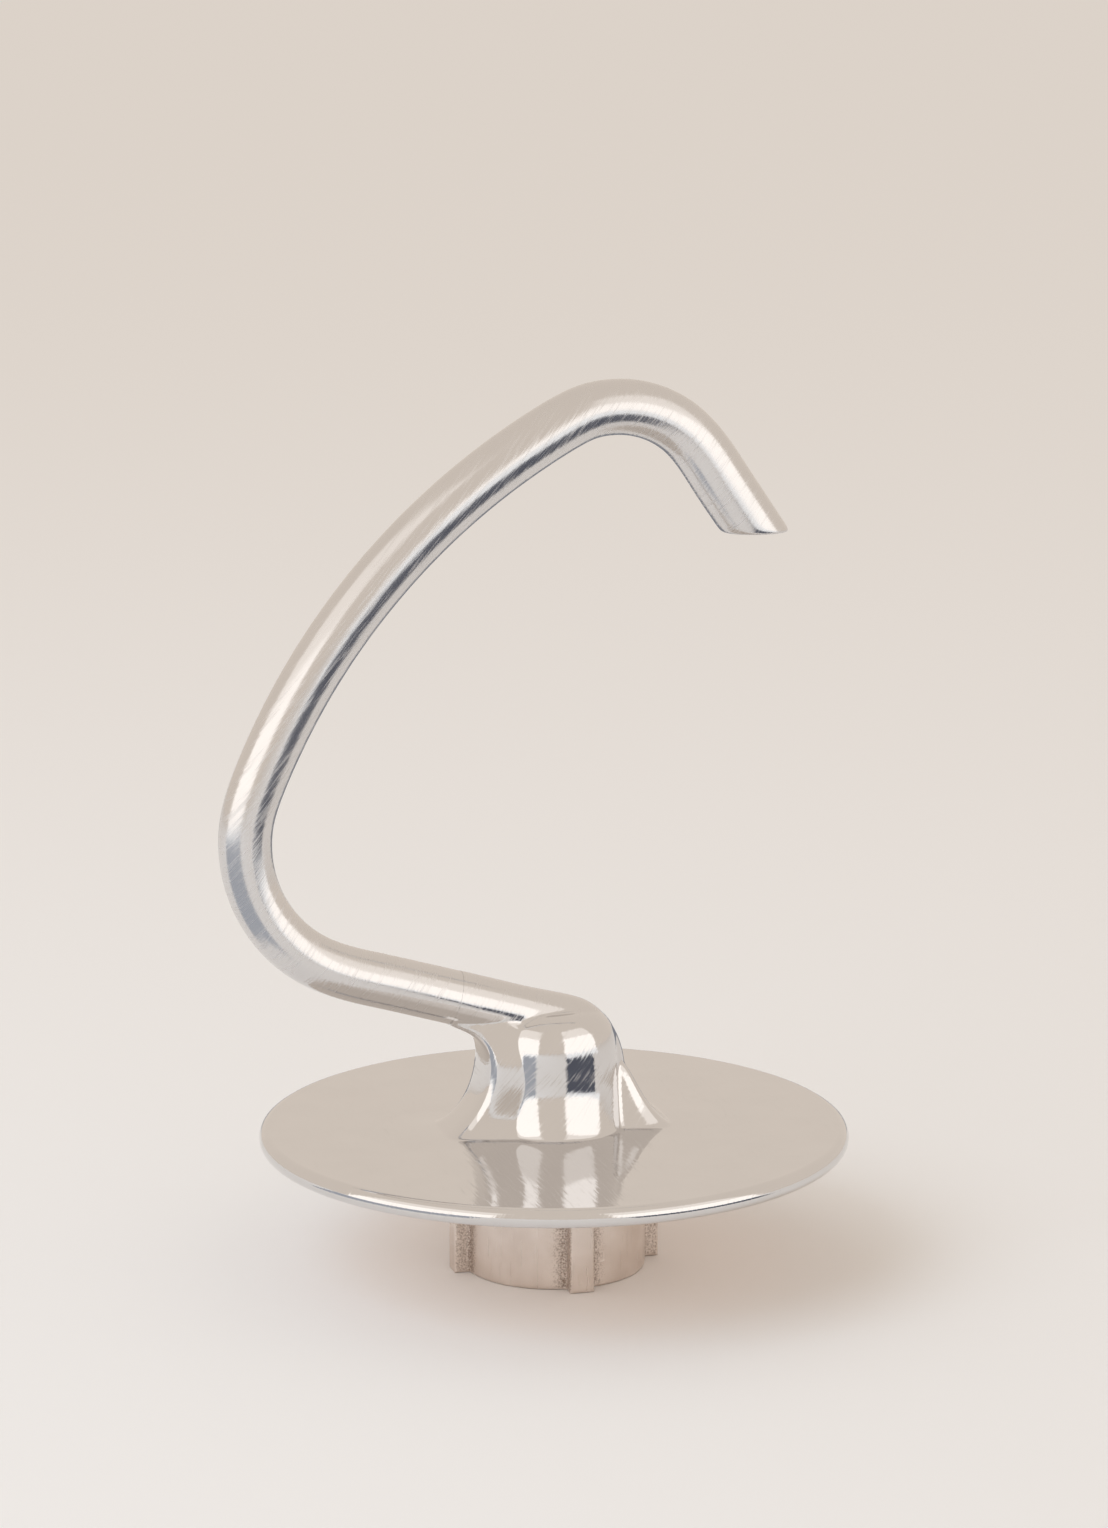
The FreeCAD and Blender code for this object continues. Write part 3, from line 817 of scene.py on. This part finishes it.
# %% Cast steel
STROKE = 0.25 * MM
STROKE_LENGTH = 8 * MM
PIT = 0.32 * MM
STAIN = 7 * MM
cast, tree, shader, place = new_material("cast_stainless_steel")
upright = node(
    tree,
    "ShaderNodeMapping",
    inputs={"Vector": place, "Scale": (1 / STROKE, 1 / STROKE, 1 / STROKE_LENGTH)},
)
strokes = node(
    tree,
    "ShaderNodeTexNoise",
    inputs={"Vector": upright.outputs["Vector"], "Scale": 1.0, "Detail": 2.0},
)
pits = node(
    tree, "ShaderNodeTexNoise", inputs={"Vector": place, "Scale": 1 / PIT, "Detail": 3.0}
)
stains = node(
    tree, "ShaderNodeTexNoise", inputs={"Vector": place, "Scale": 1 / STAIN, "Detail": 2.0}
)
grain = node(tree, "ShaderNodeAttribute", {"attribute_name": "grain"})
grainy = node(
    tree,
    "ShaderNodeMath",
    {"operation": "MULTIPLY"},
    {0: grain.outputs["Fac"], 1: pits.outputs["Fac"]},
)
dark = node(
    tree,
    "ShaderNodeMapRange",
    inputs={
        "Value": grainy.outputs["Value"],
        "From Min": 0.3,
        "From Max": 0.58,
        "To Min": 0.0,
        "To Max": 1.0,
    },
)
ground = node(
    tree,
    "ShaderNodeMix",
    {"data_type": "RGBA"},
    {"Factor": stains.outputs["Fac"], "A": linear("#F6EEE8"), "B": linear("#D6C9BF")},
)
colour = node(
    tree,
    "ShaderNodeMix",
    {"data_type": "RGBA"},
    {"Factor": dark.outputs["Result"], "A": ground.outputs["Result"], "B": linear("#9C8B80")},
)
satin = node(
    tree,
    "ShaderNodeMapRange",
    inputs={
        "Value": strokes.outputs["Fac"],
        "From Min": 0.3,
        "From Max": 0.7,
        "To Min": 0.26,
        "To Max": 0.4,
    },
)
rough = node(
    tree,
    "ShaderNodeMath",
    {"operation": "MULTIPLY_ADD"},
    {0: grain.outputs["Fac"], 1: 0.22, 2: satin.outputs["Result"]},
)
stroke_bump = node(
    tree,
    "ShaderNodeBump",
    inputs={"Height": strokes.outputs["Fac"], "Strength": 0.5, "Distance": 0.02 * MM},
)
pit_bump = node(
    tree,
    "ShaderNodeBump",
    inputs={
        "Height": grainy.outputs["Value"],
        "Strength": 0.6,
        "Distance": 0.12 * MM,
        "Normal": stroke_bump.outputs["Normal"],
    },
)
shader.inputs["Metallic"].default_value = 1.0
tree.links.new(colour.outputs["Result"], shader.inputs["Base Color"])
tree.links.new(rough.outputs["Value"], shader.inputs["Roughness"])
tree.links.new(pit_bump.outputs["Normal"], shader.inputs["Normal"])
print(cast.name, len(tree.nodes), "nodes")

# %% [markdown]
# Turned steel: the drive bush was cut on a lathe, which leaves level rings all round, one for each turn
# of the feed. A real feed is about 0.1 mm; it is drawn as 0.3 mm so that the rings can be seen.

# %% Turned steel
FEED = 0.3 * MM
SMEAR = 3 * MM
turned, tree, shader, place = new_material("turned_steel")
grooves = node(
    tree,
    "ShaderNodeTexWave",
    {"bands_direction": "Z"},
    {"Vector": place, "Scale": 1 / (FEED * 20 / math.tau), "Distortion": 0.6, "Detail": 1.0},
)
smears = node(
    tree, "ShaderNodeTexNoise", inputs={"Vector": place, "Scale": 1 / SMEAR, "Detail": 3.0}
)
shine = node(
    tree,
    "ShaderNodeMapRange",
    inputs={
        "Value": smears.outputs["Fac"],
        "From Min": 0.3,
        "From Max": 0.7,
        "To Min": 0.22,
        "To Max": 0.38,
    },
)
oiled = node(
    tree,
    "ShaderNodeMix",
    {"data_type": "RGBA"},
    {"Factor": smears.outputs["Fac"], "A": linear("#CBC5BE"), "B": linear("#B5ADA5")},
)
cut = node(
    tree,
    "ShaderNodeBump",
    inputs={"Height": grooves.outputs["Fac"], "Strength": 0.4, "Distance": 0.02 * MM},
)
shader.inputs["Metallic"].default_value = 1.0
tree.links.new(oiled.outputs["Result"], shader.inputs["Base Color"])
tree.links.new(shine.outputs["Result"], shader.inputs["Roughness"])
tree.links.new(cut.outputs["Normal"], shader.inputs["Normal"])
print(turned.name, len(tree.nodes), "nodes")

# %% [markdown]
# ## Hand the pieces to the frame
# The four new pieces stand for their CAD nodes and ride on the one body. The drive bush is already the
# right shape, so its CAD node stays and only takes its finish.

# %% Finish and ride
for piece, replaced, slot, finish in (
    (hook_arm, "hook_arm", "polished_steel", steel),
    (boss, "arm_boss", "polished_steel", steel),
    (disc, "guard_disc", "polished_steel", steel),
    (hub, "coupling_hub", "cast_steel", cast),
):
    piece.data.materials.clear()
    piece.data.materials.append(finish)
    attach(piece, "root")
    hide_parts(replaced)
for material_slot in frame["nodes"]["drive_bush"].material_slots:
    material_slot.material = turned

# %% [markdown]
# ## Camera
# A long lens stands 0.78 m from the middle of the hook, 15.6 degrees to the left of straight in front of
# the plane that the arm is bent in, and looks 11.5 degrees down.

# %% Camera
CAMERA_TURN = math.radians(15.6)
CAMERA_PITCH = math.radians(11.54)
CAMERA_REACH = 0.779
AIM = Vector((0, 0, 0.09535))
back = Vector(
    (
        -math.sin(CAMERA_TURN) * math.cos(CAMERA_PITCH),
        -math.cos(CAMERA_TURN) * math.cos(CAMERA_PITCH),
        math.sin(CAMERA_PITCH),
    )
)
bpy.ops.object.camera_add(
    location=AIM + back * CAMERA_REACH,
    rotation=(-back).to_track_quat("-Z", "Y").to_euler(),
)
camera = bpy.context.object
camera.data.lens = 100
camera.data.sensor_width = 36
camera.data.clip_end = 50
bpy.context.scene.camera = camera
print("camera at", [round(v, 3) for v in camera.location])

# %% [markdown]
# ## Studio
# Polished metal shows its room, so the room is modelled with care: a pale floor that fades into a warm
# pale surround, soft white screens on each side of the camera, and cards that lie on the floor outside
# the view. Each side has a low screen and a dimmer one above it. They give the long bright strips down
# the bar, and the dark flags to the right, to the left and behind give the dark ones between. A white
# reflector lies beyond each side flag. Screens and cards are seen only in reflections.
#
# The other lights do the opposite: they light the floor, and no reflection shows them. They are a soft
# ceiling light, a cool window on the left, and a faint warm lamp under the disc, which stands for the
# light that the polished underside throws down.

# %% Surround and floor
SURROUND = "#E4D8CC"
world = bpy.data.worlds.new("studio")
bpy.context.scene.world = world
world.use_nodes = True
tree = world.node_tree
tree.nodes.clear()
sky = node(tree, "ShaderNodeBackground", inputs={"Color": linear(SURROUND), "Strength": 1.0})
node(tree, "ShaderNodeOutputWorld", inputs={"Surface": sky.outputs["Background"]})
bpy.context.scene.view_settings.view_transform = "Standard"

FLOOR_SIZE = 30
FLOOR_DROP = 0.05 * MM
floor = add(
    "floor", bpy.ops.mesh.primitive_plane_add, size=FLOOR_SIZE, location=(0, 0, -FLOOR_DROP)
)
bpy.ops.object.transform_apply(location=True)
paper = bpy.data.materials.new("studio_paper")
paper.use_nodes = True
tree = paper.node_tree
tree.nodes.clear()
matt = node(tree, "ShaderNodeBsdfDiffuse", inputs={"Color": linear("#F0F0F0")})
node(tree, "ShaderNodeOutputMaterial", inputs={"Surface": matt.outputs["BSDF"]})
floor.data.materials.append(paper)
print("floor and surround ready")


# %% Screens, lights and cards
SCREEN_REACH = 1.3
CARD_LIFT = 1 * MM


def toward(azimuth, elevation, reach):
    """A point seen from the hook, at an angle from the camera to its right, and up from the floor."""
    turn = math.radians(azimuth) - CAMERA_TURN
    rise = math.radians(elevation)
    return Vector(
        (math.sin(turn) * math.cos(rise), -math.cos(turn) * math.cos(rise), math.sin(rise))
    ) * reach


def screen(name, azimuth, low, high, half_angle, brightness):
    """A soft white screen that fills the view from the hook between two elevations."""
    top = SCREEN_REACH * math.tan(math.radians(high))
    bottom = SCREEN_REACH * math.tan(math.radians(low))
    centre = toward(azimuth, 0, SCREEN_REACH) + Vector((0, 0, (top + bottom) / 2))
    facing = Vector((centre.x, centre.y, 0)).to_track_quat("Z", "Y").to_euler()
    bpy.ops.object.light_add(type="AREA", location=centre, rotation=facing)
    lamp = bpy.context.object
    lamp.name = name
    lamp.data.shape = "RECTANGLE"
    lamp.data.size = 2 * SCREEN_REACH * math.tan(math.radians(half_angle))
    lamp.data.size_y = top - bottom
    lamp.data.energy = brightness * math.pi * lamp.data.size * lamp.data.size_y
    lamp.visible_camera = lamp.visible_diffuse = False


for side, azimuth in (("right", 52), ("left", -52)):
    screen("low_screen_" + side, azimuth, 0, 30, 30, 0.66)
    screen("high_screen_" + side, azimuth, 30, 54, 30, 0.3)
key_side = toward(-115, 50, 1)
bpy.ops.object.light_add(
    type="SUN", location=key_side, rotation=key_side.to_track_quat("Z", "Y").to_euler()
)
ceiling = bpy.context.object
ceiling.name = "ceiling_light"
ceiling.data.angle = math.radians(60)
ceiling.data.energy = 0.27
ceiling.data.color = linear("#D9EDFF")[:3]
ceiling.visible_glossy = False


def fill_light(name, place, direction, size, shape, energy, colour):
    """A soft light that brightens the floor, and that no reflection shows."""
    bpy.ops.object.light_add(
        type="AREA", location=place, rotation=direction.to_track_quat("-Z", "Y").to_euler()
    )
    lamp = bpy.context.object
    lamp.name = name
    lamp.data.shape = shape
    lamp.data.size = size
    lamp.data.energy = energy
    lamp.data.color = linear(colour)[:3]
    lamp.visible_camera = lamp.visible_glossy = False


WINDOW_POWER = 5.0
UNDER_DISC_POWER = 0.0078
UNDER_DISC_GAP = 0.3 * MM
window_place = toward(-50, 42, 1.25)
fill_light("window", window_place, -window_place, 0.9, "SQUARE", WINDOW_POWER, "#DCEEFF")
under_place = Vector((0, 0, DISC_LOW - UNDER_DISC_GAP))
down = Vector((0, 0, -1))
fill_light("under_disc", under_place, down, 92 * MM, "DISK", UNDER_DISC_POWER, "#FFDDC4")


def floor_card(name, azimuth, near, far, half_angle, colour, strength):
    """A card on the floor between two distances, spread over an angle, that only reflections see."""
    corners = [
        toward(azimuth + side * half_angle, 0, reach) + Vector((0, 0, CARD_LIFT))
        for reach, sides in ((near, (-1, 0, 1)), (far, (1, 0, -1)))
        for side in sides
    ]
    card = traced(name, corners)
    bpy.ops.mesh.select_all(action="SELECT")
    bpy.ops.mesh.edge_face_add()
    bpy.ops.object.mode_set(mode="OBJECT")
    glow = bpy.data.materials.new(name)
    glow.use_nodes = True
    tree = glow.node_tree
    tree.nodes.clear()
    light = node(tree, "ShaderNodeEmission", inputs={"Color": linear(colour), "Strength": strength})
    node(tree, "ShaderNodeOutputMaterial", inputs={"Surface": light.outputs["Emission"]})
    card.data.materials.append(glow)
    card.visible_camera = card.visible_diffuse = card.visible_shadow = False


floor_card("flag_right", 50, 0.13, 0.4, 25, "#5C5E68", 1.0)
floor_card("flag_left", -55, 0.11, 0.62, 30, "#B2B5BC", 1.0)
floor_card("flag_behind", 180, 0.16, 0.5, 28, "#85878E", 1.0)
floor_card("reflector_right", 55, 0.4, 1.3, 30, "#FFFFFF", 1.1)
floor_card("reflector_left", -55, 0.62, 1.3, 30, "#FFFFFF", 1.1)
print("studio ready")
